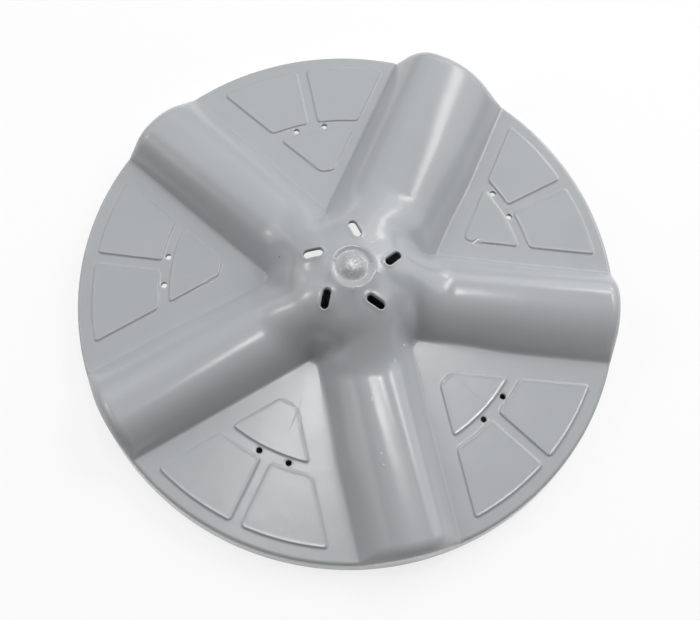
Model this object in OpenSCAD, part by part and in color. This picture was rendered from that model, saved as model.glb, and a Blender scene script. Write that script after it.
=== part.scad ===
// Washing machine agitator: a low pulsator disc, moulded in one piece.
// Five hollow lobes run from the hub to the rim, one of them broader and
// taller. The disc stands on the lower edge of its skirt, and the drive
// shaft comes up through the open underside into the splined boss.

/* [Disc] */

// Radius of the disc at the top of its skirt
rim_r = 170; // [155:1:190]

// Height of the skirt under the plate
skirt_h = 16; // [14:0.5:22]

// Outward lean of the skirt from top to bottom
skirt_draft = 1.4; // [0.8:0.1:2.4]

// How far the plate's curve would rise to the centre
plate_rise = 7.2; // [4:0.1:10]

// Wall thickness of the shell
wall = 2.8; // [2.4:0.1:3.2]

// Rounding of the plate's outer edge
edge_round = 2.2; // [1.6:0.1:2.6]

/* [Lobes] */

// Crest height of four lobes at the rim
crest_rim = 17.5; // [14:0.5:22]

// Crest height of the broad lobe at the rim
broad_crest_rim = 27; // [23:0.5:31]

// Crest height of four lobes where they leave the hub
crest_root = 19.7; // [17:0.1:24]

// Crest height of the broad lobe where it leaves the hub
broad_crest_root = 26.5; // [23:0.5:30]

// Half width of a lobe on its clockwise side
lobe_cw = 30.3; // [28:0.1:32]

// Half width of a lobe on its counterclockwise side
lobe_ccw = 27.8; // [26:0.1:30]

// Half width of the broad lobe on its clockwise side
broad_cw = 41.5; // [38:0.1:43]

// Half width of the broad lobe on its counterclockwise side
broad_ccw = 35; // [32:0.1:37]

// How far the clockwise foot swings out along the lobe
foot_swing = 2.2; // [0:0.1:3]

// Shift of a crest towards its counterclockwise side at the rim
crest_lean = 4; // [0:0.5:6]

// The same shift on the broad lobe
broad_lean = 8; // [0:0.5:9]

// Fullness of the lobe's cross-section
fullness = 2.45; // [2:0.05:2.8]

// Rounding where a lobe's end turns down to the rim
end_round = 8; // [5:0.5:10]

/* [Hub] */

// Height of the lobes' crests at the dish
hub_h = 39; // [35:0.5:42]

// Radius inside which the lobes run together
shoulder_r = 46; // [42:1:50]

// Radius at which the crests have come down from the hub
root_r = 65; // [64:0.5:68]

// Turn of the lobes as they run into the hub
swirl = 17; // [8:1:20]

// Radius of the dish at the centre
dish_r = 14; // [12.5:0.1:14.5]

// Radius of the gate nub's top, in the middle of the dish
nub_r = 3.2; // [2:0.2:4]

// Depth of the dish
dish_depth = 2.4; // [1.4:0.1:2.8]

// Width of a hub slot
slot_w = 4.8; // [4:0.1:5.4]

// Length of a hub slot
slot_l = 11.6; // [9:0.1:13]

// Distance of the slots from the centre
slot_r = 25.3; // [24.5:0.1:27]

// Turn of a slot's long axis from the radius
slot_turn = 28; // [15:1:40]

/* [Pads] */

// Height of the pads over the plate
pad_h = 0.8; // [0.6:0.1:1.2]

// Flat border between the outer pads and the rim
pad_border = 9; // [8:0.5:11]

// Length of the outer pads along the radius
outer_pad_l = 41; // [36:0.5:44]

// Length of the inner pad along the radius
inner_pad_l = 30.6; // [24:0.2:32]

// Flat strip between a lobe's clockwise foot and the pads
cw_strip = 16; // [13:0.5:17]

// Flat strip between a lobe's counterclockwise foot and the pads
ccw_strip = 12; // [10:0.5:14]

// The same strips beside the broad lobe
broad_cw_strip = 10.3; // [8:0.1:12]
broad_ccw_strip = 6.7; // [5:0.1:9]

// Width of the strips between the three pads of a sector
pad_gap = 6.6; // [5:0.2:8]

// Radius of the pads' corners
pad_corner = 2; // [1:0.2:2.6]

// Diameter of a drain hole
drain_d = 3.8; // [3.2:0.1:4.4]

/* [Underside] */

// Outer radius of the drive boss
boss_r = 17.5; // [16.5:0.1:18]

// Radius of the plain pilot bore at the boss's mouth
pilot_r = 8; // [7.5:0.1:8.5]

// Length of the pilot bore
pilot_l = 8; // [6:0.5:10]

// Depth of the spline over the pilot bore
spline_l = 24; // [20:0.5:26]

// Number of spline teeth
spline_teeth = 12; // [10:1:16]

// Thickness of the ribs
rib_t = 2; // [1.6:0.1:2.4]

// Radius of the inner ring rib
ring_in_r = 62; // [60:0.5:63]

// Height of the straight ribs' arches beside the boss, over the rest plane
rib_arch = 18; // [16:0.5:22]

// Distance of the outer ring rib inside the rim
ring_inset = 34; // [30:0.5:40]

/* [Hidden] */

lobes = 5;
pitch = 360 / lobes;
first_axis = 54;
// Angle of a drain hole from the middle of its sector
drain_step = 4.7;
foot_z = -6;
hub_blend = 8;
reach = 1.1;
// Height of the ribs' lower edges and of the boss's mouth over the rest plane
rib_clear = 6;
boss_clear = 1.5;

// Places of the grid columns across one side of a lobe, crest to foot
steps = [0, 0.2, 0.38, 0.54, 0.69, 0.82, 0.92, 1, reach] / reach;
side = len(steps) - 1;
pitch_cols = 2 * side + 1;
cols = lobes * pitch_cols;
// Radii of the grid's rings: over the dish, over the hub and along the lobes
function along(t, end) = root_r + (end - root_r) * t;
outer_rings = concat(
    dish_r * [0.23, 0.38, 0.53, 0.7, 0.86],
    shoulder_r * [0.3, 0.39, 0.48, 0.565, 0.65, 0.74, 0.825, 0.913, 1, 1.09, 1.2],
    [for (t = [0, 0.1, 0.25, 0.45, 0.67, 0.88, 1]) along(t, rim_r - end_round - 4)]
);
inner_rings = concat(
    shoulder_r * [0.22, 0.39, 0.52, 0.65, 0.78, 0.91, 1.04, 1.18],
    [for (t = [0, 0.26, 0.52, 0.78, 1]) along(t, rim_r - end_round - 10)]
);
outer_turn = [0, 24, 46, 66, 90];
inner_turn = [0, 35, 64, 90];

function clamp01(x) = max(0, min(1, x));
function ease(x) = let(c = clamp01(x)) c * c * (3 - 2 * c);
// The larger of two heights, blended over k
function blend(a, b, k) =
    let(h = clamp01(0.5 + 0.5 * (a - b) / k)) b * (1 - h) + a * h + k * h * (1 - h);
function wrap(a) = a - 360 * floor((a + 180) / 360);

function axis_angle(k) = first_axis - pitch * k;
function is_broad(k) = (k % lobes) == 0;
function plate_z(r) = plate_rise * pow(max(0, 1 - r / (0.94 * rim_r)), 2);
function turn(r) = swirl * ease((0.87 * root_r - r) / 36);
// Place of the crest beside the lobe's axis
function lean(k, r) =
    (is_broad(k) ? broad_lean : crest_lean) * ease((r - shoulder_r) / (rim_r - shoulder_r));

// Half widths of lobe k, d inside the outer skin
function w_cw(k, r, d) =
    (is_broad(k) ? broad_cw : lobe_cw) + foot_swing * ease((r - shoulder_r - 24) / 45) - 0.75 * d;
function w_ccw(k, d) = (is_broad(k) ? broad_ccw : lobe_ccw) - 0.75 * d;

// The crests come down the hub in a curve from the dish, then run nearly level to the rim
function crest_z(k, r) =
    let(
        low = is_broad(k) ? broad_crest_root : crest_root,
        end = is_broad(k) ? broad_crest_rim : crest_rim,
        down = clamp01((r - dish_r) / (root_r - dish_r)),
        out = clamp01((r - root_r) / (rim_r - root_r))
    ) low + (hub_h - low) * pow(1 - pow(down, 1.9), 2) + (end - low) * out;

// Past the disc's centre a lobe ends in a round dome between its two half widths
function lobe_z(k, r, a, d) =
    let(
        off = wrap(a - turn(r) - axis_angle(k)),
        past = abs(off) > 90,
        c = lean(k, r),
        v = r * sin(off) - c,
        cw = w_cw(k, r, d) + c,
        ccw = w_ccw(k, d) - c,
        w = past ? (cw + ccw + (ccw - cw) * sin(off)) / 2 : v < 0 ? cw : ccw,
        t = (past ? r : abs(v)) / w,
        z = plate_z(r) + (crest_z(k, r) - plate_z(r)) * (1 - pow(min(2, t), fullness))
    ) max(z, -4.5);

function lobes_z(r, a, d, k = 0) =
    k == lobes ? -4.5
    : blend(lobes_z(r, a, d, k + 1), lobe_z(k, r, a, d), hub_blend * ease((shoulder_r + 10 - r) / 26) + 0.01);

function cap_z(r) = hub_h - 1.5 - 9 * pow(r / (0.81 * shoulder_r), 4);
function skin_z(r, a, d) =
    (r < shoulder_r + 14 ? blend(lobes_z(r, a, d), cap_z(r), 5) : lobes_z(r, a, d)) - d;
function dish_z(r) =
    dish_depth * (ease((r - nub_r) / (0.62 * dish_r - nub_r)) - ease((r / dish_r - 0.66) / 0.34));

// The grid columns follow the lobes' feet, and share the room where the lobes meet
function half_angle(w, r) = asin(min(1, reach * w / r));
function share(k, r) =
    let(
        a = half_angle(w_cw(k, r, 0), r),
        b = half_angle(w_ccw(k + 1, 0), r),
        f = min(1, (pitch - 2.5) / (a + b))
    ) [a * f, b * f];
// Angle of a point t of the way from the crest, c beyond the axis, to the foot
function part_way(t, a, c) = asin(t * (sin(min(a, 89)) + c) - c);
function column_angle(j, r) =
    let(
        k = floor(j / pitch_cols),
        i = j % pitch_cols,
        ab = share(k, r),
        off = i <= side ? part_way(steps[i], ab[0], lean(k, r) / r)
            : pitch - part_way(steps[pitch_cols - i], ab[1], -lean(k + 1, r) / r)
    ) axis_angle(k) - off + turn(r);

function polar(r, a, z) = [r * cos(a), r * sin(a), z];

// One ring of the skin at radius r
function ring(r, d) =
    [for (j = [0:cols - 1]) let(a = column_angle(j, r))
        polar(r, a, skin_z(r, a, d) - (d > 0 ? 0 : dish_z(r)))];
// One ring of a lobe's rounded end, at angle f round the turn
function end_ring(f, d, end) =
    [for (j = [0:cols - 1])
        let(
            a = column_angle(j, rim_r),
            q = (0.4 + (end_round - 0.4) * ease((skin_z(rim_r - end_round, a, 0) + 1) / 12)) * (1 - 0.2 * d),
            r = end - q * (1 - sin(f))
        ) polar(r, a, skin_z(r, a, d) - q * (1 - cos(f)))];
function flat_ring(r, z) = [for (j = [0:cols - 1]) polar(r, column_angle(j, rim_r), z)];

// The lobes and the hub as one solid down to foot_z, d inside the outer skin
module lobes_solid(d, rings, turns, end, foot) {
    loops = concat(
        [for (r = rings) ring(r, d)],
        [for (f = turns) end_ring(f, d, end)],
        [flat_ring(end - 0.05, foot)]
    );
    n = len(loops);
    last = n * cols;
    points = concat(
        [for (q = loops) each q],
        [[0, 0, skin_z(0.01, 0, d)], [0, 0, foot]]
    );
    faces = concat(
        [for (j = [0:cols - 1]) [last, j, (j + 1) % cols]],
        [for (i = [0:n - 2], j = [0:cols - 1])
            [i * cols + j, (i + 1) * cols + j, (i + 1) * cols + (j + 1) % cols]],
        [for (i = [0:n - 2], j = [0:cols - 1])
            [i * cols + j, (i + 1) * cols + (j + 1) % cols, i * cols + (j + 1) % cols]],
        [for (j = [0:cols - 1]) [last + 1, (n - 1) * cols + (j + 1) % cols, (n - 1) * cols + j]]
    );
    polyhedron(points, faces, convexity = 6);
}

// Profile of the solid disc under the plate's top, r by z
plate_radii = rim_r * [0, 0.24, 0.36, 0.48, 0.6, 0.72, 0.84];
function edge_profile() =
    [for (f = [0:18:90]) [rim_r - edge_round * (1 - sin(f)), -edge_round * (1 - cos(f))]];
module disc_blank() {
    rotate_extrude($fn = 180)
    polygon(concat(
        [for (r = plate_radii) [r, plate_z(r)]],
        edge_profile(),
        [[rim_r + skirt_draft, -skirt_h], [0, -skirt_h]]
    ));
}

// The hollow under the plate, open at the bottom
module disc_hollow() {
    rotate_extrude($fn = 180)
    polygon(concat(
        [for (r = plate_radii) [r, plate_z(r) - wall]],
        [
            [rim_r - wall - 1, -wall],
            [rim_r - wall, -wall - 1],
            [rim_r - wall + skirt_draft * 17 / 16, -skirt_h - 1],
            [0, -skirt_h - 1]
        ]
    ));
}

// Pads: each is bounded by lines along the two lobes beside it
pad_outer_r = rim_r - pad_border;
pad_mid_r = pad_outer_r - outer_pad_l;
pad_inner_r = pad_mid_r - pad_gap;
function pad_cw_v(k) = foot_swing + (is_broad(k) ? broad_cw + broad_cw_strip : lobe_cw + cw_strip);
function pad_ccw_v(k) = is_broad(k) ? broad_ccw + broad_ccw_strip : lobe_ccw + ccw_strip;
// Distance from the centre to where the lines along two lobes meet
function meeting_r(a, b) = sqrt(a * a + b * b + 2 * a * b * cos(pitch)) / sin(pitch);
// Angle from the axis at radius r of a line at distance v from it
function line_angle(v, r) = asin(v / r);

// A corner rounded over q between the directions to its neighbours
function unit(p) = p / norm(p);
function corner(a, b, c, q, n = 4) =
    let(
        u = unit(a - b),
        w = unit(c - b),
        m = unit(u + w),
        half = acos(clamp01(u * m)),
        reach_q = q / sin(half),
        o = b + m * reach_q,
        s = b + u * q / tan(half) - o,
        e = b + w * q / tan(half) - o
    ) [for (i = [0:n]) let(t = i / n) o + q * unit(s * (1 - t) + e * t)];
function rounded(p, q) =
    [for (i = [0:len(p) - 1])
        let(n = len(p), a = p[(i + n - 1) % n], b = p[i], c = p[(i + 1) % n])
        each (unit(b - a) * unit(c - b) > 0.9 ? [b] : corner(a, b, c, q))];

// Outline between angles a0 and a1 on the outer arc and b0 and b1 on the inner one
function pad_outline(r_out, a0, a1, r_in, b0, b1, n = 6) =
    concat(
        [for (i = [0:n]) let(a = a0 + (a1 - a0) * i / n) r_out * [cos(a), sin(a)]],
        [for (i = [0:n]) let(b = b1 + (b0 - b1) * i / n) r_in * [cos(b), sin(b)]]
    );

// A pad laid along the plate's slope at radius r, in the direction of its middle
module pad(points, r, mid) {
    slope = atan((plate_z(r + 15) - plate_z(r - 15)) / 30);
    translate(polar(r, mid, plate_z(r)))
    rotate([0, 0, mid])
    rotate([0, -slope, 0])
    rotate([0, 0, -mid])
    translate([0, 0, -1.2])
    linear_extrude(height = 1.2 + pad_h)
    translate(-r * [cos(mid), sin(mid)])
    polygon(rounded(points, pad_corner));
}

// The three pads of the sector clockwise of lobe k
module sector_pads(k) {
    ccw_v = pad_cw_v(k);
    cw_v = pad_ccw_v(k + 1);
    near = axis_angle(k);
    far = axis_angle(k + 1);
    mid = (near + far) / 2;
    // The strip between the outer pads ends half way between their outer corners
    gap = (near - line_angle(ccw_v, pad_outer_r) + far + line_angle(cw_v, pad_outer_r)) / 2;
    gap_out = line_angle(pad_gap / 2, pad_outer_r);
    gap_in = line_angle(pad_gap / 2, pad_mid_r);
    outer_mid = (pad_outer_r + pad_mid_r) / 2;
    pad(
        pad_outline(
            pad_outer_r, near - line_angle(ccw_v, pad_outer_r), gap + gap_out,
            pad_mid_r, near - line_angle(ccw_v, pad_mid_r), gap + gap_in
        ), outer_mid, mid + 9
    );
    pad(
        pad_outline(
            pad_outer_r, gap - gap_out, far + line_angle(cw_v, pad_outer_r),
            pad_mid_r, gap - gap_in, far + line_angle(cw_v, pad_mid_r)
        ), outer_mid, mid - 11
    );
    tip_r = max(pad_inner_r - inner_pad_l, meeting_r(ccw_v, cw_v) + 1.7);
    pad(
        pad_outline(
            pad_inner_r, near - line_angle(ccw_v, pad_inner_r), far + line_angle(cw_v, pad_inner_r),
            tip_r, near - line_angle(ccw_v, tip_r), far + line_angle(cw_v, tip_r)
        ), (pad_inner_r + tip_r) / 2, mid
    );
}

// The rounded slots of the hub and the drain holes of the sectors
module slots() {
    for (k = [0:lobes - 1])
        rotate([0, 0, axis_angle(k) + 20])
        translate([slot_r, 0, hub_h - 14])
        rotate([0, 0, slot_turn]) {
            half = (slot_l - slot_w) / 2;
            translate([-half, -slot_w / 2, 0]) cube([2 * half, slot_w, 20]);
            translate([-half, 0, 0]) cylinder(r = slot_w / 2, h = 20, $fn = 48);
            translate([half, 0, 0]) cylinder(r = slot_w / 2, h = 20, $fn = 48);
        }
}
module drains() {
    for (k = [0:lobes - 1], s = [-1, 1])
        rotate([0, 0, axis_angle(k) - pitch / 2 + s * drain_step])
        translate([(pad_mid_r + pad_inner_r) / 2, 0, -6])
        cylinder(d = drain_d, h = 10, $fn = 48);
}

// Ribs stand in the hollow: two rings, and one straight rib under each flat sector
module ribs() {
    low = -skirt_h + rib_clear;
    over = 2 * hub_h;
    for (r = [ring_in_r, rim_r - ring_inset])
        difference() {
            translate([0, 0, low]) cylinder(r = r + rib_t / 2, h = over, $fn = 180);
            translate([0, 0, low - 1]) cylinder(r = r - rib_t / 2, h = over + 2, $fn = 180);
        }
    for (k = [0:lobes - 1])
        rotate([0, 0, axis_angle(k) - pitch / 2])
        rotate([90, 0, 0])
        translate([0, 0, -rib_t / 2])
        linear_extrude(height = rib_t)
        polygon([
            [boss_r - rib_t, rib_arch - skirt_h],
            [0.77 * ring_in_r, rib_arch - skirt_h],
            [0.935 * ring_in_r, low + rib_t / 2],
            [rim_r - wall / 2, low + rib_t / 2],
            [rim_r - wall / 2, over],
            [boss_r - rib_t, over]
        ]);
    translate([0, 0, -skirt_h + boss_clear]) cylinder(r = boss_r, h = over, $fn = 96);
}

// The spline and its plain pilot bore, blind under the hub
module drive_bore() {
    mouth = -skirt_h + boss_clear;
    root = pilot_r - 0.6;
    tip = root - 1.3;
    tooth = 360 / spline_teeth;
    translate([0, 0, mouth - 1]) cylinder(r = pilot_r, h = pilot_l + 1, $fn = 96);
    translate([0, 0, mouth + pilot_l - 0.01])
    linear_extrude(height = spline_l + 0.01)
    polygon([for (i = [0:spline_teeth - 1], p = [[-0.32, tip], [-0.2, root], [0.2, root], [0.32, tip]])
        let(a = (i + p[0]) * tooth) p[1] * [cos(a), sin(a)]]);
}

module agitator() {
    color([0.68, 0.70, 0.71])
    translate([0, 0, skirt_h])
    difference() {
        union() {
            disc_blank();
            lobes_solid(0, outer_rings, outer_turn, rim_r + 0.25, foot_z);
            for (k = [0:lobes - 1]) sector_pads(k);
        }
        difference() {
            union() {
                disc_hollow();
                lobes_solid(wall, inner_rings, inner_turn, rim_r - wall, foot_z - 3);
            }
            ribs();
        }
        slots();
        drains();
        drive_bore();
    }
}

agitator();
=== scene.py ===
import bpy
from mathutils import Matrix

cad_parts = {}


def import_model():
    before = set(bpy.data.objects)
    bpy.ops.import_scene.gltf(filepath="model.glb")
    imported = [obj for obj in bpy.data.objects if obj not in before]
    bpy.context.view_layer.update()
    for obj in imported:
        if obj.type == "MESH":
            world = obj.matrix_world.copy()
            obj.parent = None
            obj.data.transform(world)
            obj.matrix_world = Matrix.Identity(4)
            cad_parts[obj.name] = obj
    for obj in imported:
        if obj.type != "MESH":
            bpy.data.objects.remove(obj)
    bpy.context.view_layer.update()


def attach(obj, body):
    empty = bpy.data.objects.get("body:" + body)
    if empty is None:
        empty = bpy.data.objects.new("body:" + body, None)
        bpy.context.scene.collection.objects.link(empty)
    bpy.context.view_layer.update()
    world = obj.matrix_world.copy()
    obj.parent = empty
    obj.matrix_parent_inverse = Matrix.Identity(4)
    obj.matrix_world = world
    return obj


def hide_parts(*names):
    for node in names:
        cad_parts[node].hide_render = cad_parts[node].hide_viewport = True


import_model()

import math

import bmesh
import bpy
import numpy as np
from mathutils import Matrix, Vector

MM = 0.001

# Sizes, mm
# Heights are measured from the plate's outer edge, SKIRT_H over the rest plane.
RIM_R = 170.0
SKIRT_H = 16.0
SKIRT_DRAFT = 1.4
PLATE_RISE = 7.2
WALL = 2.8
EDGE_ROUND = 2.2
LOBES = 5
PITCH = 360.0 / LOBES
FIRST_AXIS = 54.0
CREST_RIM = 17.5
BROAD_CREST_RIM = 27.0
CREST_ROOT = 19.7
BROAD_CREST_ROOT = 26.5
LOBE_CW = 30.3
LOBE_CCW = 27.8
BROAD_CW = 41.5
BROAD_CCW = 35.0
FOOT_SWING = 2.2
CREST_LEAN = 4.0
BROAD_LEAN = 8.0
FULLNESS = 2.45
END_ROUND = 8.0
FOOT_FILLET = 1.6
HUB_H = 39.0
SHOULDER_R = 46.0
ROOT_R = 65.0
SWIRL = 17.0
HUB_BLEND = 8.0
DISH_R = 14.0
NUB_R = 3.2
DISH_DEPTH = 2.4
SLOT_W = 4.8
SLOT_L = 11.6
SLOT_R = 25.3
SLOT_TURN = 28.0
SLOT_OFFSET = 20.0
PAD_H = 0.8
PAD_OUTER_R = RIM_R - 9.0
PAD_MID_R = PAD_OUTER_R - 41.0
PAD_GAP = 6.6
PAD_INNER_R = PAD_MID_R - PAD_GAP
PAD_TIP_R = PAD_INNER_R - 30.6
PAD_CORNER = 2.2
CW_STRIP = 16.0
CCW_STRIP = 12.0
BROAD_CW_STRIP = 10.3
BROAD_CCW_STRIP = 6.7
DRAIN_R = 0.5 * (PAD_MID_R + PAD_INNER_R)
DRAIN_D = 3.8
DRAIN_STEP = 4.7
BOSS_R = 17.5
BOSS_CLEAR = 1.5
PILOT_R = 8.0
PILOT_L = 8.0
SPLINE_L = 24.0
SPLINE_TEETH = 12
RIB_T = 2.0
RIB_CLEAR = 6.0
RING_IN_R = 62.0
RIB_ARCH = 18.0
INTO_WALL = 0.4
RING_OUT_R = RIM_R - 34.0


# The skin's form
def ease(x):
    c = np.clip(x, 0.0, 1.0)
    return c * c * (3 - 2 * c)


def soft_max(a, b, k):
    """The larger of two heights, blended over k."""
    h = np.clip(0.5 + 0.5 * (a - b) / k, 0.0, 1.0)
    return b * (1 - h) + a * h + k * h * (1 - h)


def wrap(a):
    return (a + 180.0) % 360.0 - 180.0


def axis_angle(k):
    return FIRST_AXIS - PITCH * (k % LOBES)


def broad(k):
    return k % LOBES == 0


def plate_z(r):
    return PLATE_RISE * np.maximum(0, 1 - r / (0.94 * RIM_R)) ** 2


def turn(r):
    return SWIRL * ease((0.87 * ROOT_R - r) / 36)


def lean(k, r):
    return (BROAD_LEAN if broad(k) else CREST_LEAN) * ease((r - SHOULDER_R) / (RIM_R - SHOULDER_R))


def foot_cw(k, r):
    return (BROAD_CW if broad(k) else LOBE_CW) + FOOT_SWING * ease((r - SHOULDER_R - 24) / 45)


def foot_ccw(k):
    return BROAD_CCW if broad(k) else LOBE_CCW


def crest_z(k, r):
    """The crests come down the hub in a curve from the dish, then run nearly level to the rim."""
    low = BROAD_CREST_ROOT if broad(k) else CREST_ROOT
    end = BROAD_CREST_RIM if broad(k) else CREST_RIM
    down = np.clip((r - DISH_R) / (ROOT_R - DISH_R), 0, 1)
    out = np.clip((r - ROOT_R) / (RIM_R - ROOT_R), 0, 1)
    return low + (HUB_H - low) * (1 - down ** 1.9) ** 2 + (end - low) * out


def lobe_z(k, r, a, d):
    off = wrap(a - turn(r) - axis_angle(k))
    past = np.abs(off) > 90
    s = np.sin(np.radians(off))
    c = lean(k, r)
    v = r * s - c
    cw, ccw = foot_cw(k, r) + c - 0.75 * d, foot_ccw(k) - c - 0.75 * d
    w = np.where(past, (cw + ccw + (ccw - cw) * s) / 2, np.where(v < 0, cw, ccw))
    t = np.where(past, r, np.abs(v)) / w
    z = plate_z(r) + (crest_z(k, r) - plate_z(r)) * (1 - np.minimum(2, t) ** FULLNESS)
    return np.maximum(z, -4.5)


def lobes_z(r, a, d):
    z = np.full(np.shape(r), -4.5)
    for k in reversed(range(LOBES)):
        z = soft_max(z, lobe_z(k, r, a, d), HUB_BLEND * ease((SHOULDER_R + 10 - r) / 26) + 0.01)
    return z


def skin_z(r, a, d):
    z = lobes_z(r, a, d)
    cap = HUB_H - 1.5 - 9 * np.minimum(r / (0.81 * SHOULDER_R), 2) ** 4
    return np.where(r < SHOULDER_R + 14, soft_max(z, cap, 5.0), z) - d


def dish_z(r):
    return DISH_DEPTH * (ease((r - NUB_R) / (0.62 * DISH_R - NUB_R)) - ease((r / DISH_R - 0.66) / 0.34))


# Pads, slots, drains
def pad_near_v(k):
    """Distance of the pads' side line from the axis of lobe k, on its clockwise side."""
    return FOOT_SWING + (BROAD_CW + BROAD_CW_STRIP if broad(k) else LOBE_CW + CW_STRIP)


def pad_far_v(k):
    return BROAD_CCW + BROAD_CCW_STRIP if broad(k) else LOBE_CCW + CCW_STRIP


def side_angle(v, r):
    return np.degrees(np.arcsin(np.clip(v / np.maximum(r, 0.01), -1, 1)))


def gap_offset(k):
    """Clockwise angle from lobe k's axis to the strip between the two outer pads."""
    near = side_angle(pad_near_v(k), PAD_OUTER_R)
    far = PITCH - side_angle(pad_far_v(k + 1), PAD_OUTER_R)
    return 0.5 * (near + far)


def inside(edges, q):
    """Distance inside an outline with corners rounded over q, from the distances to its edges."""
    return q - np.sqrt(sum(np.maximum(q - e, 0) ** 2 for e in edges))


def pad_depth(r, a):
    """Distance inside the nearest pad's outline, negative outside."""
    best = np.full(np.shape(r), -50.0)
    for k in range(LOBES):
        off = wrap(axis_angle(k) - a)
        near = r * np.sin(np.radians(off)) - pad_near_v(k)
        far = r * np.sin(np.radians(PITCH - off)) - pad_far_v(k + 1)
        s = r * np.sin(np.radians(gap_offset(k) - off))
        here = (off > 0) & (off < PITCH)
        for edges in (
            (near, far, s - PAD_GAP / 2, PAD_OUTER_R - r, r - PAD_MID_R),
            (near, far, -s - PAD_GAP / 2, PAD_OUTER_R - r, r - PAD_MID_R),
            (near, far, PAD_INNER_R - r, r - PAD_TIP_R),
        ):
            best = np.maximum(best, np.where(here, inside(edges, PAD_CORNER), -50.0))
    return best


def pad_z(r, a):
    """A steep wall with a rounded bead along it, a faint hollow inside that, then a doming."""
    d = pad_depth(r, a)
    wall = PAD_H * (1 - (1 - np.clip((d + 0.2) / 1.0, 0, 1)) ** 2)
    bead = 0.1 * np.exp(-(((d - 0.7) / 0.5) ** 2)) - 0.07 * np.exp(-(((d - 2.0) / 0.8) ** 2))
    return wall + bead + 0.3 * (1 - np.exp(-np.maximum(d, 0) / 6.0))


def slot_places():
    for k in range(LOBES):
        a = math.radians(axis_angle(k) + SLOT_OFFSET)
        yield (SLOT_R * math.cos(a), SLOT_R * math.sin(a), a + math.radians(SLOT_TURN))


def drain_places():
    for k in range(LOBES):
        for side in (-1, 1):
            a = math.radians(axis_angle(k) - PITCH / 2 + side * DRAIN_STEP)
            yield (DRAIN_R * math.cos(a), DRAIN_R * math.sin(a), 0.0)


def outside_slot(x, y, place, half, radius):
    """Distance outside a stadium of that half length and end radius."""
    cx, cy, a = place
    u = (x - cx) * math.cos(a) + (y - cy) * math.sin(a)
    v = -(x - cx) * math.sin(a) + (y - cy) * math.cos(a)
    return np.hypot(np.maximum(np.abs(u) - half, 0), v) - radius


SLOT_HALF = (SLOT_L - SLOT_W) / 2


def lips_z(r, a):
    """The raised, rounded lip of each hub slot and the broken edge of each drain hole."""
    x, y = r * np.cos(np.radians(a)), r * np.sin(np.radians(a))
    z = np.zeros(np.shape(r))
    for place in slot_places():
        d = outside_slot(x, y, place, SLOT_HALF, SLOT_W / 2)
        z += 0.4 * np.exp(-(((d - 0.9) / 0.8) ** 2)) - 0.75 * np.clip(1 - d / 0.8, 0, 1) ** 2
    for place in drain_places():
        d = outside_slot(x, y, place, 0.0, DRAIN_D / 2)
        z -= 0.2 * np.clip(1 - d / 0.4, 0, 1) ** 2
    return z


# Lumps of the rough gate mark on the nub and flecks round it: x, y, radius, height
GATE_LUMPS = (
    (-0.8, -0.6, 1.5, 0.7), (-2.2, 0.6, 1.1, 0.5), (1.0, 0.9, 1.3, 0.6), (0.4, 2.2, 1.1, 0.5),
    (-1.2, 2.0, 0.9, 0.4), (1.8, -1.0, 0.9, 0.4), (-2.6, -1.8, 0.9, 0.35), (0.2, -2.4, 1.0, 0.45),
    (3.2, 1.6, 0.8, 0.3), (4.4, -0.4, 0.7, 0.25), (-3.4, 2.6, 0.8, 0.25), (2.4, 3.2, 0.8, 0.25),
    (-11.9, 8.9, 1.0, 0.3), (-10.2, 6.6, 0.8, 0.25), (-13.5, -0.7, 0.9, 0.3), (7.7, 0.9, 1.0, 0.3),
    (11.2, 1.4, 0.8, 0.2), (14.1, -7.4, 1.0, 0.25), (-3.6, -14.6, 1.2, 0.35), (-1.6, -12.4, 0.9, 0.25),
)


# The nub under the lumps is this much lower than in the CAD, whose top they then reach
GATE_SINK, GATE_SINK_R = 0.9, 5.0


def gate_z(r, a):
    x, y = r * np.cos(np.radians(a)), r * np.sin(np.radians(a))
    lumps = sum(h * np.exp(-((x - cx) ** 2 + (y - cy) ** 2) / (w * w)) for cx, cy, w, h in GATE_LUMPS)
    return lumps - GATE_SINK * np.exp(-((r / GATE_SINK_R) ** 2))


def top_z(r, a):
    plate = plate_z(r) + pad_z(r, a)
    return soft_max(plate, skin_z(r, a, 0.0), FOOT_FILLET) - dish_z(r) + lips_z(r, a) + gate_z(r, a)


def under_z(r, a):
    return soft_max(plate_z(r) - WALL, skin_z(r, a, WALL), 1.0)


# The shell
# Columns of the grid follow the lobes' feet and the pads' sides. Closer ones stand beside
# such a line, at these distances from it in mm.
ON_LOBE = (0.35, 0.75, 1.2, 1.9, 3.0)
ON_PLATE = (0.35, 0.75, 1.3)
IN_PAD = (0.25, 0.55, 0.9, 1.4, 2.1, 3.2)
OUT_OF_PAD = (0.3, 1.3)
FLANK_FILL = 12
PAD_FILL = 8
DRAIN_COLUMNS = (-9.5, -6.2, -3.4, -1.2, 1.2, 3.4, 6.2, 9.5)
LEAST = (1.6, 4.0, 1.5, 4.0, 1.6)


def settle(keys, least, end):
    """Moves the key angles apart to at least these steps, with the last one fixed at end."""
    n = len(keys)
    up, down = list(keys), list(keys)
    for i in range(1, n):
        up[i] = max(up[i], up[i - 1] + least[i])
    up[-1] = end
    for i in range(n - 2, 0, -1):
        up[i] = min(up[i], up[i + 1] - least[i + 1])
    down[-1] = end
    for i in range(n - 2, 0, -1):
        down[i] = min(down[i], down[i + 1] - least[i + 1])
    for i in range(1, n - 1):
        down[i] = max(down[i], down[i - 1] + least[i])
    return [(p + q) / 2 for p, q in zip(up, down)]


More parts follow.
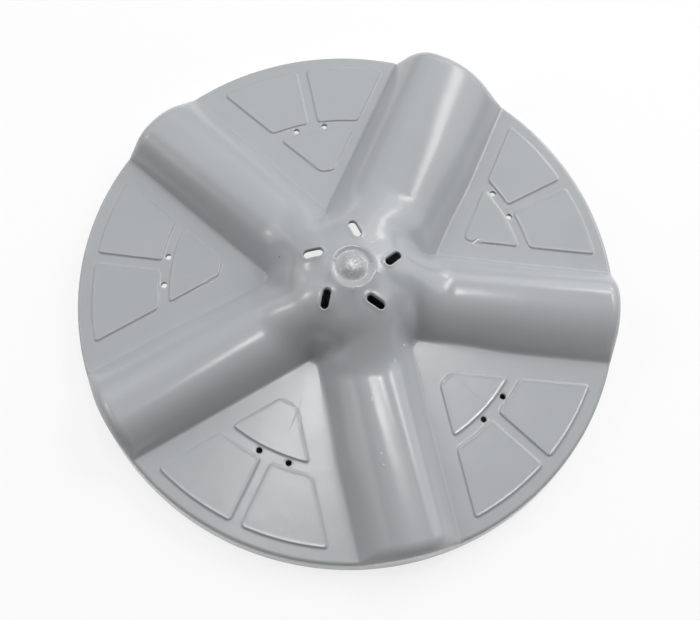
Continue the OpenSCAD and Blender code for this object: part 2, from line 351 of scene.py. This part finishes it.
def between(lo, hi, near_lo, fill, near_hi, deg, drain=None):
    """Angles strictly between two keys: close columns at each end and fill ones between."""
    room = (hi - lo) / deg
    fit_lo = min(1.0, 0.4 * room / near_lo[-1]) if near_lo else 0
    fit_hi = min(1.0, 0.4 * room / near_hi[-1]) if near_hi else 0
    out = [f * fit_lo for f in near_lo]
    start, stop = (out[-1] if near_lo else 0.0), room - (near_hi[-1] * fit_hi if near_hi else 0.0)
    even = [start + (stop - start) * (i + 1) / (fill + 1) for i in range(fill)]
    if drain:
        centre, share = (drain[0] - lo) / deg, drain[1]
        centre = min(max(centre, start + 0.3 * (stop - start)), stop - 0.3 * (stop - start))
        fit = min(1.0, 0.92 * min(centre - start, stop - centre) / DRAIN_COLUMNS[-1])
        even = [e * share + (centre + s * fit) * (1 - share) for e, s in zip(even, DRAIN_COLUMNS)]
    out += even + [room - f * fit_hi for f in reversed(near_hi)]
    return [lo + v * deg for v in out]


def column_angles(r):
    """Angles of all columns at radius r, clockwise from lobe 0's crest."""
    deg = math.degrees(1 / max(r, 6.0))
    angles = []
    for k in range(LOBES):
        cw, ccw, pitch = float(foot_cw(k, r)), foot_ccw(k + 1), math.radians(PITCH)
        # Nearer the hub than the feet reach, the keys follow the groove between the two lobes
        valley = math.degrees(math.atan2(cw * math.sin(pitch), ccw + cw * math.cos(pitch)))
        near = min(side_angle(cw, r), valley - 1.2)
        far = max(PITCH - side_angle(ccw, r), valley + 1.2)
        fit = min(1.0, 0.9 * (far - near) / sum(LEAST))
        middle = settle(
            [
                near,
                side_angle(pad_near_v(k), r),
                gap_offset(k) - side_angle(PAD_GAP / 2, r),
                gap_offset(k) + side_angle(PAD_GAP / 2, r),
                PITCH - side_angle(pad_far_v(k + 1), r),
                far,
            ],
            [0.0] + [step * fit for step in LEAST], far,
        )
        keys = [-side_angle(float(lean(k, r)), r), *middle, PITCH - side_angle(float(lean(k + 1, r)), r)]
        share = float(ease((abs(r - DRAIN_R) - 8) / 20))
        plan = (
            ((), FLANK_FILL, ON_LOBE, None),
            (ON_PLATE, 2, OUT_OF_PAD, None),
            (IN_PAD, PAD_FILL, IN_PAD, (PITCH / 2 - DRAIN_STEP, share)),
            (OUT_OF_PAD, 0, OUT_OF_PAD, None),
            (IN_PAD, PAD_FILL, IN_PAD, (PITCH / 2 + DRAIN_STEP, share)),
            (OUT_OF_PAD, 2, ON_PLATE, None),
            (ON_LOBE, FLANK_FILL, (), None),
        )
        for i, (near_lo, fill, near_hi, drain) in enumerate(plan):
            angles.append(axis_angle(k) - keys[i])
            found = between(keys[i], keys[i + 1], near_lo, fill, near_hi, deg, drain)
            angles += [axis_angle(k) - v for v in found]
    even = axis_angle(0) - np.arange(len(angles)) * 360.0 / len(angles)
    near = float(ease((r - 12.0) / 20.0))
    return even + near * (np.array(angles) - even) + float(turn(r))


def pad_arc(r, outwards):
    """Rings beside a pad's arc, with the pad on the outer side or the inner side of it."""
    beyond, before = (IN_PAD, OUT_OF_PAD) if outwards else (OUT_OF_PAD, IN_PAD)
    return [r - f for f in reversed(before)] + [r] + [r + f for f in beyond]


def steps_between(a, b, n):
    return [a + (b - a) * (i + 1) / (n + 1) for i in range(n)]


TOP_RADII = (
    [0.9, 1.8, 2.7, 3.6, 4.5, 5.4, 6.3, 7.2, 8.1, 9.0, 9.9, 10.8, 11.8, 12.9, 14.1, 15.4]
    + steps_between(15.4, 34.0, 15) + [34.0] + steps_between(34.0, ROOT_R - 0.8, 16)
    + [ROOT_R - 0.8, ROOT_R, ROOT_R + 0.8] + steps_between(ROOT_R + 0.8, PAD_TIP_R - 1.3, 9)
    + pad_arc(PAD_TIP_R, True) + steps_between(PAD_TIP_R + 3.2, PAD_INNER_R - 3.2, 7)
    + pad_arc(PAD_INNER_R, False) + [DRAIN_R] + pad_arc(PAD_MID_R, True)
    + steps_between(PAD_MID_R + 3.2, PAD_OUTER_R - 3.2, 9) + pad_arc(PAD_OUTER_R, False)
    + [164.0, 165.4, 166.4, 167.1, 167.6]
)
UNDER_RADII = [
    160, 152, 142, 131, 121, 116.7, 112.5, 104, 93, 83, 74, 66, 60, 55, 50, 46, 42, 38.5, 35,
    32, 29, 26.5, 24, 21.5, 19, 14, 8,
]
SHRINK_FROM = 148.0


def shell_rings():
    """Radius, angle and height of every ring, from the dish over the rim to under the hub."""
    rim = column_angles(RIM_R)
    rise = np.maximum(0, top_z(np.full(rim.shape, RIM_R - END_ROUND), rim))
    q = EDGE_ROUND + (END_ROUND - EDGE_ROUND) * ease(rise / 12)
    q_in = 0.44 * q + 0.4
    rings = []

    def add(r, a, z):
        rings.append(np.stack([np.broadcast_to(r, a.shape), a, z]))

    def drawn_in(r, q, end, plain):
        """Rings near the rim move in where a lobe's rounded end needs the room."""
        if r <= SHRINK_FROM:
            return np.full(q.shape, float(r))
        return SHRINK_FROM + (r - SHRINK_FROM) * (end - q - SHRINK_FROM) / (end - plain - SHRINK_FROM)

    for r in TOP_RADII:
        a = column_angles(min(r, RIM_R))
        rr = drawn_in(r, q, RIM_R, EDGE_ROUND)
        add(rr, a, top_z(rr, a))
    for f in np.radians(np.arange(0, 91, 10)):
        rr = RIM_R - q * (1 - np.sin(f))
        add(rr, rim, top_z(rr, rim) - q * (1 - np.cos(f)))
    end_z = rings[-1][2]

    def wall_r(z, inset):
        return RIM_R - inset + SKIRT_DRAFT * np.maximum(0, -z) / SKIRT_H

    for s in (0.1, 0.25, 0.42, 0.6, 0.78, 0.92):
        z = end_z + (-SKIRT_H + 0.4 - end_z) * s
        add(wall_r(z, 0.0), rim, z)
    low = np.full(rim.shape, -SKIRT_H)
    add(wall_r(low + 0.4, 0.0), rim, low + 0.4)
    add(wall_r(low, 0.3), rim, low)
    add(wall_r(low, WALL - 0.3), rim, low)
    add(wall_r(low + 0.4, WALL), rim, low + 0.4)
    end = RIM_R - WALL
    top_in = under_z(np.full(rim.shape, end), rim) - q_in
    for s in (0.3, 0.65, 1.0):
        z = low + 0.4 + (top_in - low - 0.4) * s
        add(wall_r(np.minimum(z, 0), WALL), rim, z)
    for f in np.radians([60, 30, 0]):
        rr = end - q_in * (1 - np.sin(f))
        add(rr, rim, under_z(rr, rim) - q_in * (1 - np.cos(f)))
    for r in UNDER_RADII:
        a = column_angles(r)
        rr = drawn_in(r, q_in, end, 1.4)
        add(rr, a, under_z(rr, a))
    return rings


def turned_shell(rings):
    """A closed skin: a half circle of points spun round the axis, then each point set in place."""
    columns = rings[0].shape[1]
    n = len(rings) + 1
    bm = bmesh.new()
    line = [bm.verts.new((math.sin(math.pi * i / n), 0, math.cos(math.pi * i / n))) for i in range(n + 1)]
    line[-1].co.x = 0.0
    edges = [bm.edges.new(pair) for pair in zip(line, line[1:])]
    bmesh.ops.spin(
        bm, geom=line + edges, axis=(0, 0, 1), cent=(0, 0, 0), angle=2 * math.pi, steps=columns, use_merge=True
    )
    bmesh.ops.remove_doubles(bm, verts=bm.verts[:], dist=1e-6)
    zero = np.zeros(1)
    top = float(top_z(zero, zero)[0])
    bottom = float(under_z(zero, zero)[0])
    for v in bm.verts:
        i = round(math.atan2(math.hypot(v.co.x, v.co.y), v.co.z) / math.pi * n)
        j = round(math.atan2(v.co.y, v.co.x) / (2 * math.pi) * columns) % columns
        if i == 0 or i == n:
            v.co = (0, 0, top if i == 0 else bottom)
        else:
            r, a, z = rings[i - 1][:, (columns - j) % columns]
            a = math.radians(a)
            v.co = (r * math.cos(a), r * math.sin(a), z)
    bmesh.ops.recalc_face_normals(bm, faces=bm.faces[:])
    return bm


# Holes in the shell
def outline(place, half, radius, grow, n):
    """n points of a stadium's outline, grown outwards by grow."""
    cx, cy, a = place
    radius += grow
    length = 4 * half + 2 * math.pi * radius
    points = []
    for i in range(n):
        s = (i + 0.5) / n * length
        if s < 2 * half:
            u, v = half - s, radius
        elif s < 2 * half + math.pi * radius:
            t = math.pi / 2 + (s - 2 * half) / radius
            u, v = -half + radius * math.cos(t), radius * math.sin(t)
        elif s < 4 * half + math.pi * radius:
            u, v = -half + (s - 2 * half - math.pi * radius), -radius
        else:
            t = -math.pi / 2 + (s - 4 * half - math.pi * radius) / radius
            u, v = half + radius * math.cos(t), radius * math.sin(t)
        points.append((cx + u * math.cos(a) - v * math.sin(a), cy + u * math.sin(a) + v * math.cos(a)))
    return np.array(points)


def height_at(points, form):
    r, a = np.hypot(points[:, 0], points[:, 1]), np.degrees(np.arctan2(points[:, 1], points[:, 0]))
    return form(r, a)


def loop_of(bm, points, z):
    verts = [bm.verts.new((x, y, h)) for (x, y), h in zip(points, z)]
    return [bm.edges.new((verts[i], verts[(i + 1) % len(verts)])) for i in range(len(verts))]


def skin_points(bm):
    """The shell's vertices with their places, and which of them belong to the upper skin."""
    verts = list(bm.verts)
    x, y, z = np.array([v.co for v in verts]).T
    r, a = np.hypot(x, y), np.degrees(np.arctan2(y, x))
    return verts, x, y, z > 0.5 * (top_z(r, a) + under_z(r, a))


def open_hole(bm, skin, place, half, radius, clear, lip, n):
    """Cuts one hole through both skins, with these rings of its rounded lip, and the wall between."""
    verts, x, y, upper = skin
    near = outside_slot(x, y, place, half, radius) < clear
    ends = []
    for form, which, rings in ((top_z, upper, lip), (under_z, ~upper, (0.5, 0.0))):
        gone = {verts[i] for i in np.flatnonzero(near & which)}
        faces = {f for v in gone for f in v.link_faces}
        previous = list({e for f in faces for e in f.edges if not gone.intersection(e.verts)})
        bmesh.ops.delete(bm, geom=list(gone), context="VERTS")
        for grow in rings:
            points = outline(place, half, radius, grow, n)
            loop = loop_of(bm, points, height_at(points, form))
            bmesh.ops.bridge_loops(bm, edges=previous + loop)
            previous = loop
        ends += previous
    bmesh.ops.bridge_loops(bm, edges=ends)


# Ribs and the drive boss
def linked(vert):
    """All vertices joined to this one."""
    found, grow = {vert}, [vert]
    while grow:
        v = grow.pop()
        for e in v.link_edges:
            w = e.other_vert(v)
            if w not in found:
                found.add(w)
                grow.append(w)
    return found


def turned(bm, profile, steps, closed):
    """A profile of (radius, height) points spun round the drive axis."""
    verts = [bm.verts.new((x, 0, z)) for x, z in profile]
    pairs = list(zip(verts, verts[1:])) + ([(verts[-1], verts[0])] if closed else [])
    edges = [bm.edges.new(pair) for pair in pairs]
    bmesh.ops.spin(
        bm, geom=verts + edges, axis=(0, 0, 1), cent=(0, 0, 0), angle=2 * math.pi, steps=steps, use_merge=True
    )
    return linked(verts[0])


def ring_rib(bm, radius):
    """A ring under the plate, its top set into the wall above it."""
    low = -SKIRT_H + RIB_CLEAR
    inner, outer = radius - RIB_T / 2, radius + RIB_T / 2
    corners = ((inner, low + 0.3), (inner + 0.3, low), (outer - 0.3, low), (outer, low + 0.3), (outer, 60), (inner, 60))
    set_tops(turned(bm, corners, 360, True))


def set_tops(verts):
    """Rib vertices drawn up to 60 go just inside the wall above them."""
    for v in verts:
        if v.co.z > 50:
            spot = np.array([[v.co.x, v.co.y]])
            v.co.z = float(height_at(spot, under_z)[0]) + INTO_WALL


def radial_rib(bm, angle):
    """A straight rib from the boss to the skirt, with an arch beside the boss."""
    low, arch = -SKIRT_H + RIB_CLEAR + 1, RIB_ARCH - SKIRT_H
    along = [BOSS_R - 2, 24, 32, 40, *range(44, 66, 2), *range(68, 165, 6), RIM_R - WALL + 0.5]
    slope_start, slope_end = 0.77 * RING_IN_R, 0.935 * RING_IN_R
    side = bmesh.ops.create_grid(bm, x_segments=len(along) - 1, y_segments=1, size=1.0)["verts"]
    for v in side:
        r = along[round((v.co.x + 1) / 2 * (len(along) - 1))]
        share = min(1, max(0, (r - slope_start) / (slope_end - slope_start)))
        foot = arch + (low - arch) * share
        top = float(under_z(np.array([float(r)]), np.array([float(angle)]))[0]) + INTO_WALL
        v.co = (r, -RIB_T / 2, top if v.co.y > 0 else foot)
    faces = list({f for v in side for f in v.link_faces})
    made = bmesh.ops.extrude_face_region(bm, geom=faces)["geom"]
    other = [g for g in made if isinstance(g, bmesh.types.BMVert)]
    bmesh.ops.translate(bm, verts=other, vec=(0, RIB_T, 0))
    whole = side + other
    bmesh.ops.rotate(bm, verts=whole, cent=(0, 0, 0), matrix=Matrix.Rotation(math.radians(angle), 3, "Z"))


def boss(bm):
    """The drive boss: a turned outside and pilot bore, then the splined bore, closed at its end."""
    mouth = -SKIRT_H + BOSS_CLEAR
    profile = (
        (PILOT_R, mouth + PILOT_L), (PILOT_R, mouth + 0.6), (PILOT_R + 0.6, mouth), (BOSS_R - 0.6, mouth),
        (BOSS_R, mouth + 0.6), (BOSS_R, mouth + 18), (BOSS_R, 60),
    )
    whole = turned(bm, profile, 96, False)
    top_edges = [e for v in whole for e in v.link_edges if e.is_boundary and all(w.co.z > 50 for w in e.verts)]
    step_edges = [
        e for v in whole for e in v.link_edges if e.is_boundary and all(w.co.z < mouth + PILOT_L + 1 for w in e.verts)
    ]
    set_tops(whole)
    bmesh.ops.contextual_create(bm, geom=list(set(top_edges)))
    root, tip = PILOT_R - 0.6, PILOT_R - 1.9
    tooth = 2 * math.pi / SPLINE_TEETH
    star = []
    for i in range(SPLINE_TEETH):
        for part, radius in ((-0.32, tip), (-0.2, root), (0.2, root), (0.32, tip)):
            star.append((radius * math.cos((i + part) * tooth), radius * math.sin((i + part) * tooth)))
    previous = list(set(step_edges))
    for z in (mouth + PILOT_L, mouth + PILOT_L + SPLINE_L):
        loop = loop_of(bm, star, [z] * len(star))
        bmesh.ops.bridge_loops(bm, edges=previous + loop)
        previous = loop
    bmesh.ops.contextual_create(bm, geom=previous)


# The piece
def build_agitator():
    bm = turned_shell(shell_rings())
    skin = skin_points(bm)
    for place in slot_places():
        open_hole(bm, skin, place, SLOT_HALF, SLOT_W / 2, 2.4, (1.4, 1.0, 0.7, 0.45, 0.25, 0.1, 0.0), 56)
    for place in drain_places():
        open_hole(bm, skin, place, 0.0, DRAIN_D / 2, 0.85, (0.45, 0.2, 0.07, 0.0), 32)
    parts = bmesh.new()
    for radius in (RING_IN_R, RING_OUT_R):
        ring_rib(parts, radius)
    for k in range(LOBES):
        radial_rib(parts, axis_angle(k) - PITCH / 2)
    boss(parts)
    bmesh.ops.recalc_face_normals(parts, faces=parts.faces[:])
    bmesh.ops.recalc_face_normals(bm, faces=bm.faces[:])
    spare = bpy.data.meshes.new("ribs_and_boss")
    parts.to_mesh(spare)
    parts.free()
    bm.from_mesh(spare)
    bpy.data.meshes.remove(spare)
    bmesh.ops.translate(bm, verts=bm.verts[:], vec=(0, 0, SKIRT_H))
    bmesh.ops.scale(bm, verts=bm.verts[:], vec=(MM, MM, MM))
    mesh = bpy.data.meshes.new("moulded_agitator")
    bm.to_mesh(mesh)
    bm.free()
    mesh.shade_smooth()
    mesh.set_sharp_from_angle(angle=math.radians(50))
    piece = bpy.data.objects.new("moulded_agitator", mesh)
    bpy.context.scene.collection.objects.link(piece)
    return piece


# Materials
def srgb(code):
    """A linear colour from an sRGB hex value."""
    parts = [int(code[i:i + 2], 16) / 255 for i in (1, 3, 5)]
    return tuple(c / 12.92 if c <= 0.04045 else ((c + 0.055) / 1.055) ** 2.4 for c in parts) + (1.0,)


def add_node(tree, kind, settings=(), inputs=(), links=()):
    """Adds a node, sets its properties and input values, and links other sockets into it."""
    node = tree.nodes.new(kind)
    for name, value in dict(settings).items():
        setattr(node, name, value)
    for name, value in dict(inputs).items():
        node.inputs[name].default_value = value
    for name, socket in dict(links).items():
        tree.links.new(socket, node.inputs[name])
    return node


def patch(tree, place, x, y, half_l, half_w, turned_by):
    """1 in the middle of an ellipse of those half lengths in mm, down to 0 at its edge."""
    local = add_node(
        tree, "ShaderNodeMapping", {"vector_type": "TEXTURE"},
        {
            "Location": (x * MM, y * MM, 0), "Rotation": (0, 0, math.radians(turned_by)),
            "Scale": (half_l * MM, half_w * MM, 1),
        },
        {"Vector": place},
    )
    far = add_node(tree, "ShaderNodeVectorMath", {"operation": "LENGTH"}, links={0: local.outputs[0]})
    inner = add_node(
        tree, "ShaderNodeMapRange", inputs={"From Min": 0.3, "From Max": 1.0, "To Min": 1.0, "To Max": 0.0},
        links={"Value": far.outputs["Value"]},
    )
    return inner.outputs["Result"]


def combined(tree, operation, sockets):
    """Folds several values into one, such as the greatest of them."""
    total = sockets[0]
    for socket in sockets[1:]:
        total = add_node(tree, "ShaderNodeMath", {"operation": operation}, links={0: total, 1: socket}).outputs[0]
    return total


def painted(tree, under, over, share):
    mix = add_node(tree, "ShaderNodeMix", {"data_type": "RGBA"}, {7: srgb(over)}, {0: share, 6: under})
    return mix.outputs[2]


# Marks of use and moulding: x, y, half length, half width in mm, turn in degrees
SCUFFS = (
    (22.8, -46.5, 1.6, 0.8, 40), (20.0, -49.0, 1.0, 0.6, 100), (13.9, -56.5, 1.3, 0.7, 75), (-5.1, -76.5, 1.8, 0.5, 80),
    (-7.1, -108.8, 0.8, 0.7, 0), (-7.5, -115.5, 0.7, 0.7, 0), (-50.3, 20.5, 1.0, 0.7, 30),
)
FLOW_MARKS = ((10.6, 16.6, 3.2, 0.5, -45), (15.0, 13.2, 2.6, 0.8, 5), (18.2, 14.2, 1.8, 0.6, 30))
SPECK = (-40.4, 22.7, 0.55, 0.55, 0)
# The straight ribs below show through as fine sink lines
SINK_LINES = ((84, 18.2, 20, 0.7, 12.2), (57, -80, 22, 0.7, -54.5), (-94, 27, 16, 0.6, 164), (-50, -72, 14, 0.6, -124.5))


def grey_polypropylene():
    """Injection-moulded polypropylene, pigmented grey, from a polished steel mould.

    It has a satin gloss with soft-edged highlights, a faint cloudiness of the pigment, a chalky
    broken-off gate, sink lines over the ribs, and fine rubbing marks from handling.
    """
    material = bpy.data.materials.new("grey_moulded_polypropylene")
    material.use_nodes = True
    tree = material.node_tree
    tree.nodes.clear()
    place = add_node(tree, "ShaderNodeTexCoord").outputs["Object"]
    # Clouds of pigment about 40 mm across
    clouds = add_node(tree, "ShaderNodeTexNoise", inputs={"Scale": 25.0, "Detail": 3.0}, links={"Vector": place})
    colour = add_node(
        tree, "ShaderNodeMix", {"data_type": "RGBA"}, {6: srgb("#A7AAAC"), 7: srgb("#AEB1B3")},
        {0: clouds.outputs["Fac"]},
    ).outputs[2]
    # Chalky crumbs, about 1 mm, where the gate broke off and just round it
    crumbs = add_node(tree, "ShaderNodeTexNoise", inputs={"Scale": 700.0, "Detail": 4.0}, links={"Vector": place})
    chalk = add_node(
        tree, "ShaderNodeMapRange", inputs={"From Min": 0.38, "From Max": 0.52}, links={"Value": crumbs.outputs["Fac"]}
    ).outputs["Result"]
    flecks = add_node(
        tree, "ShaderNodeMapRange", inputs={"From Min": 0.57, "From Max": 0.66}, links={"Value": crumbs.outputs["Fac"]}
    ).outputs["Result"]
    gate = combined(tree, "MULTIPLY", [patch(tree, place, -0.4, 0, 4.4, 4.4, 0), chalk])
    skirt = combined(tree, "MULTIPLY", [patch(tree, place, 0, 0, 19, 17, 0), flecks])
    scuffs = combined(
        tree, "MULTIPLY", [combined(tree, "MAXIMUM", [patch(tree, place, *mark) for mark in SCUFFS]), chalk]
    )
    flows = combined(tree, "MAXIMUM", [patch(tree, place, *mark) for mark in FLOW_MARKS])
    for over, mask, share in (("#E8EAEA", gate, 0.9), ("#D2D5D5", skirt, 0.6), ("#DADCDC", scuffs, 0.8), ("#C6C9CA", flows, 0.5)):
        part = add_node(tree, "ShaderNodeMath", {"operation": "MULTIPLY"}, {1: share}, {0: mask}).outputs[0]
        colour = painted(tree, colour, over, part)
    colour = painted(tree, colour, "#2A2A2A", patch(tree, place, *SPECK))
    # Flow ripple of the moulding, about 12 mm apart, and fine grain about 0.8 mm
    ripple = add_node(tree, "ShaderNodeTexNoise", inputs={"Scale": 80.0, "Detail": 2.0}, links={"Vector": place})
    grain = add_node(tree, "ShaderNodeTexNoise", inputs={"Scale": 1200.0, "Detail": 2.0}, links={"Vector": place})
    rough = add_node(
        tree, "ShaderNodeMapRange", inputs={"To Min": 0.16, "To Max": 0.24}, links={"Value": ripple.outputs["Fac"]}
    ).outputs["Result"]
    rough = combined(tree, "MAXIMUM", [rough, gate, scuffs])
    sinks = combined(tree, "MAXIMUM", [patch(tree, place, *mark) for mark in SINK_LINES])
    normal = None
    for height, strength, distance in ((ripple.outputs["Fac"], 0.25, 0.4), (sinks, 0.6, 0.06), (grain.outputs["Fac"], 0.1, 0.03)):
        links = {"Height": height} if normal is None else {"Height": height, "Normal": normal}
        bump = add_node(tree, "ShaderNodeBump", inputs={"Strength": strength, "Distance": distance * MM}, links=links)
        normal = bump.outputs["Normal"]
    shader = add_node(
        tree, "ShaderNodeBsdfPrincipled", inputs={"IOR": 1.49, "Metallic": 0.0},
        links={"Base Color": colour, "Roughness": rough, "Normal": normal},
    )
    add_node(tree, "ShaderNodeOutputMaterial", links={"Surface": shader.outputs["BSDF"]})
    return material


def studio_white(name, camera_share):
    """Matt white paper that keeps the object's shadow and shows as white where nothing falls on it."""
    material = bpy.data.materials.new(name)
    material.use_nodes = True
    tree = material.node_tree
    tree.nodes.clear()
    rays = add_node(tree, "ShaderNodeLightPath")
    seen = add_node(
        tree, "ShaderNodeMath", {"operation": "MAXIMUM"},
        links={0: rays.outputs["Is Camera Ray"], 1: rays.outputs["Is Glossy Ray"]},
    )
    seen = add_node(
        tree, "ShaderNodeMath", {"operation": "MAXIMUM"},
        links={0: seen.outputs[0], 1: rays.outputs["Is Transmission Ray"]},
    )
    # Through the slots and drain holes of its near half, the disc shows paper in its own shade
    place = add_node(tree, "ShaderNodeTexCoord").outputs["Object"]
    apart = add_node(tree, "ShaderNodeSeparateXYZ", links={0: place})
    reach = add_node(tree, "ShaderNodeVectorMath", {"operation": "LENGTH"}, links={0: place})
    far = add_node(
        tree, "ShaderNodeMapRange", inputs={"From Min": 6 * MM, "From Max": 14 * MM}, links={"Value": apart.outputs["Y"]}
    )
    beyond = add_node(
        tree, "ShaderNodeMapRange", inputs={"From Min": 0.9 * RIM_R * MM, "From Max": 0.95 * RIM_R * MM},
        links={"Value": reach.outputs["Value"]},
    )
    lit = combined(tree, "MAXIMUM", [far.outputs["Result"], beyond.outputs["Result"]])
    share = add_node(
        tree, "ShaderNodeMath", {"operation": "MULTIPLY"}, {1: camera_share},
        {0: combined(tree, "MULTIPLY", [seen.outputs[0], lit])},
    )
    paper = add_node(tree, "ShaderNodeBsdfDiffuse", inputs={"Color": srgb("#F4F4F4")})
    glow = add_node(tree, "ShaderNodeEmission", inputs={"Color": (1, 1, 1, 1), "Strength": 1.0})
    mix = add_node(
        tree, "ShaderNodeMixShader", links={0: share.outputs[0], 1: paper.outputs[0], 2: glow.outputs[0]}
    )
    add_node(tree, "ShaderNodeOutputMaterial", links={"Surface": mix.outputs[0]})
    return material


# Studio
def floor():
    bm = bmesh.new()
    bmesh.ops.create_grid(bm, x_segments=1, y_segments=1, size=6.0)
    mesh = bpy.data.meshes.new("studio_floor")
    bm.to_mesh(mesh)
    bm.free()
    obj = bpy.data.objects.new("studio_floor", mesh)
    bpy.context.scene.collection.objects.link(obj)
    mesh.materials.append(studio_white("studio_paper", 0.8))


def world():
    w = bpy.data.worlds.new("studio_air")
    bpy.context.scene.world = w
    w.use_nodes = True
    tree = w.node_tree
    tree.nodes.clear()
    rays = add_node(tree, "ShaderNodeLightPath")
    air = add_node(tree, "ShaderNodeBackground", inputs={"Color": (1, 1, 1, 1), "Strength": 0.08})
    backdrop = add_node(tree, "ShaderNodeBackground", inputs={"Color": (1, 1, 1, 1), "Strength": 1.0})
    mix = add_node(
        tree, "ShaderNodeMixShader",
        links={0: rays.outputs["Is Camera Ray"], 1: air.outputs[0], 2: backdrop.outputs[0]},
    )
    add_node(tree, "ShaderNodeOutputWorld", links={"Surface": mix.outputs[0]})


def lamp(name, azimuth, elevation, distance, size, power, spread=180.0):
    """A soft box that points at the disc, from that azimuth round +Z and elevation."""
    light = bpy.data.lights.new(name, "AREA")
    light.shape = "RECTANGLE"
    light.size, light.size_y = size
    light.energy = power
    light.spread = math.radians(spread)
    az, el = math.radians(azimuth), math.radians(elevation)
    obj = bpy.data.objects.new(name, light)
    obj.location = Vector((math.cos(el) * math.cos(az), math.cos(el) * math.sin(az), math.sin(el))) * distance
    obj.rotation_euler = (Vector((0, 0, 0.03)) - obj.location).to_track_quat("-Z", "Y").to_euler()
    bpy.context.scene.collection.objects.link(obj)


def camera():
    """The photograph's viewpoint, from the fit to the five-fold pattern."""
    data = bpy.data.cameras.new("photo_camera")
    data.sensor_width = 36.0
    data.lens = 49.62
    data.clip_start, data.clip_end = 0.01, 30.0
    obj = bpy.data.objects.new("photo_camera", data)
    right = Vector((0.97276, -0.22688, 0.04749))
    up = Vector((0.20027, 0.92579, 0.32064))
    back = right.cross(up)
    turned = Matrix((right, up, back)).transposed().to_4x4()
    obj.matrix_world = Matrix.Translation(Vector((-73.83, -197.24, 573.84 + SKIRT_H)) * MM) @ turned
    bpy.context.scene.collection.objects.link(obj)
    bpy.context.scene.camera = obj


agitator = build_agitator()
agitator.data.materials.append(grey_polypropylene())
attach(agitator, "root")
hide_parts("agitator")

floor()
world()
lamp("right_window", 25, 32, 2.0, (2.2, 1.5), 19)
lamp("left_window", 150, 33, 2.0, (1.9, 1.5), 11)
lamp("back_panel", 90, 45, 2.0, (2.4, 1.2), 5.5)
lamp("top_panel", 90, 74, 2.0, (1.8, 1.4), 4)
lamp("window_top", 25, 47, 2.0, (0.9, 0.3), 7)
lamp("right_lamp", 36, 28, 2.0, (0.3, 0.4), 2.5)
lamp("left_lamp", 160, 38, 2.0, (0.3, 0.3), 2.5)
lamp("top_soft_box", 80, 83, 2.0, (0.36, 0.24), 4)
lamp("ceiling_lamp", 45, 73, 2.0, (0.2, 0.12), 5)
lamp("front_fill", -100, 20, 2.0, (1.6, 0.8), 0.8)
camera()
bpy.context.scene.view_settings.view_transform = "Standard"
